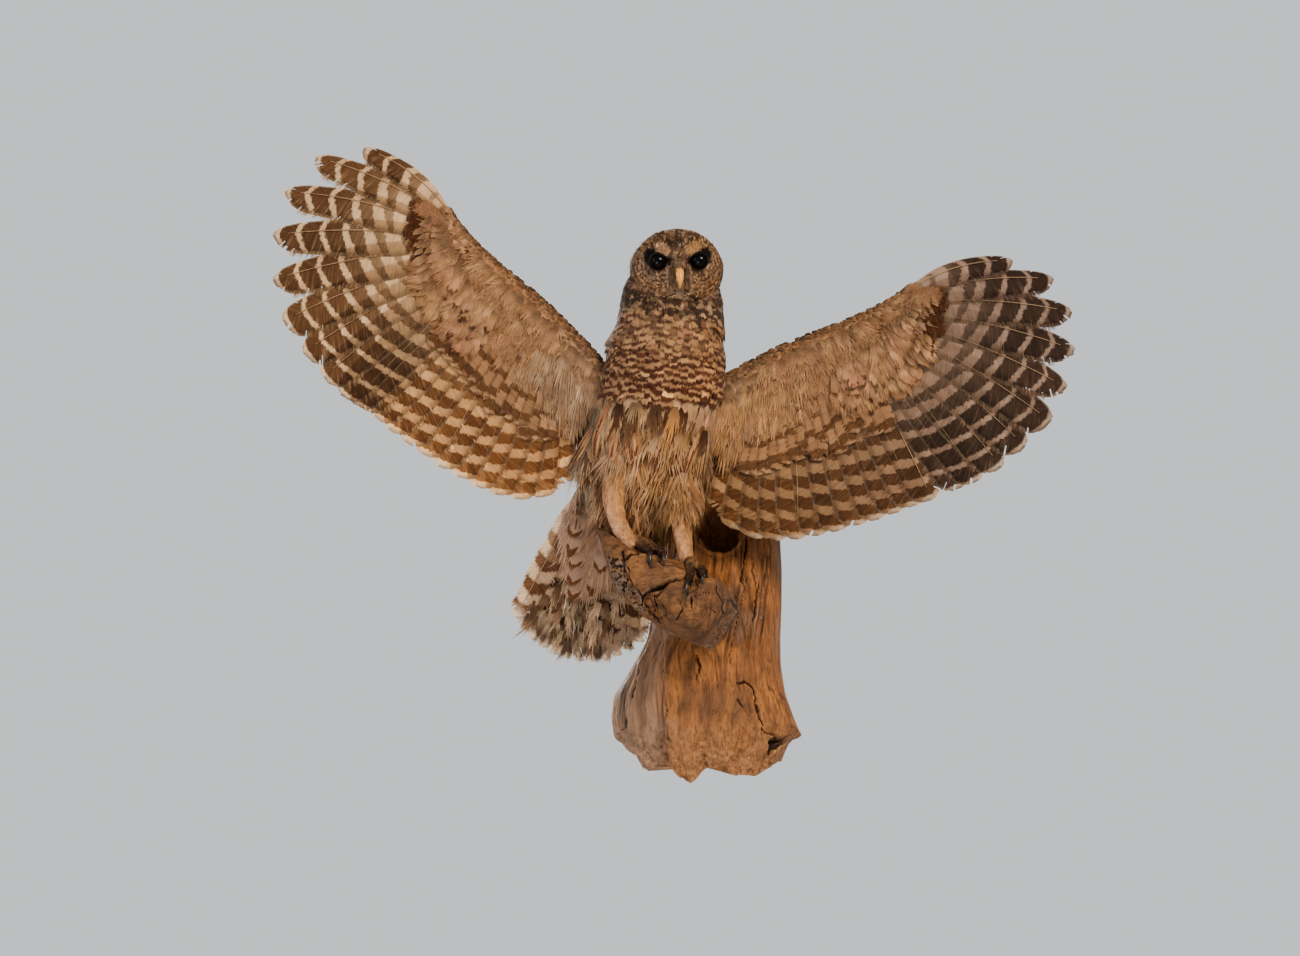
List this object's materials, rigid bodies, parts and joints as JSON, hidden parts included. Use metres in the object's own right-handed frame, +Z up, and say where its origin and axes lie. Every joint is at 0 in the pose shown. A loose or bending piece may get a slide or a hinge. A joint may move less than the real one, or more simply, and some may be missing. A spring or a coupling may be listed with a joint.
{
  "type": "mounted barred owl on driftwood",
  "caption": "Still wall-hung taxidermy owl with spread, raised wings, gripping a gnarled burl on a driftwood slab with a flat back.",
  "frame": {"origin": "on the driftwood slab's flat back, where it bears on the wall, just above the middle of its height", "axes": "+Z up the wall, +Y into the wall out of the slab's back, +X towards the owl's left wing, so the owl faces -Y"},
  "size_m": [0.8983, 0.5117, 0.6672],
  "materials": {
    "plumage": "soft barred feathers",
    "leg_plumage": "short dense feathers",
    "eye": "polished dark glass",
    "horn": "satin horn",
    "claw": "satin black horn",
    "driftwood": "weathered bare wood"
  },
  "bodies": {
    "root": {"head": "plumage", "eye_left": "eye", "eye_right": "eye", "bill_upper": "horn", "bill_lower": "horn", "neck": "plumage", "torso": "plumage", "wing_left_arm": "plumage", "wing_left_hand": "plumage", "wing_right_arm": "plumage", "wing_right_hand": "plumage", "tail": "plumage", "leg_left": "leg_plumage", "foot_left": "leg_plumage", "leg_right": "leg_plumage", "foot_right": "leg_plumage", "claw_left_1": "claw", "claw_left_2": "claw", "claw_left_3": "claw", "claw_left_4": "claw", "claw_right_1": "claw", "claw_right_2": "claw", "claw_right_3": "claw", "claw_right_4": "claw", "slab": "driftwood", "burl": "driftwood"}
  },
  "joints": []
}
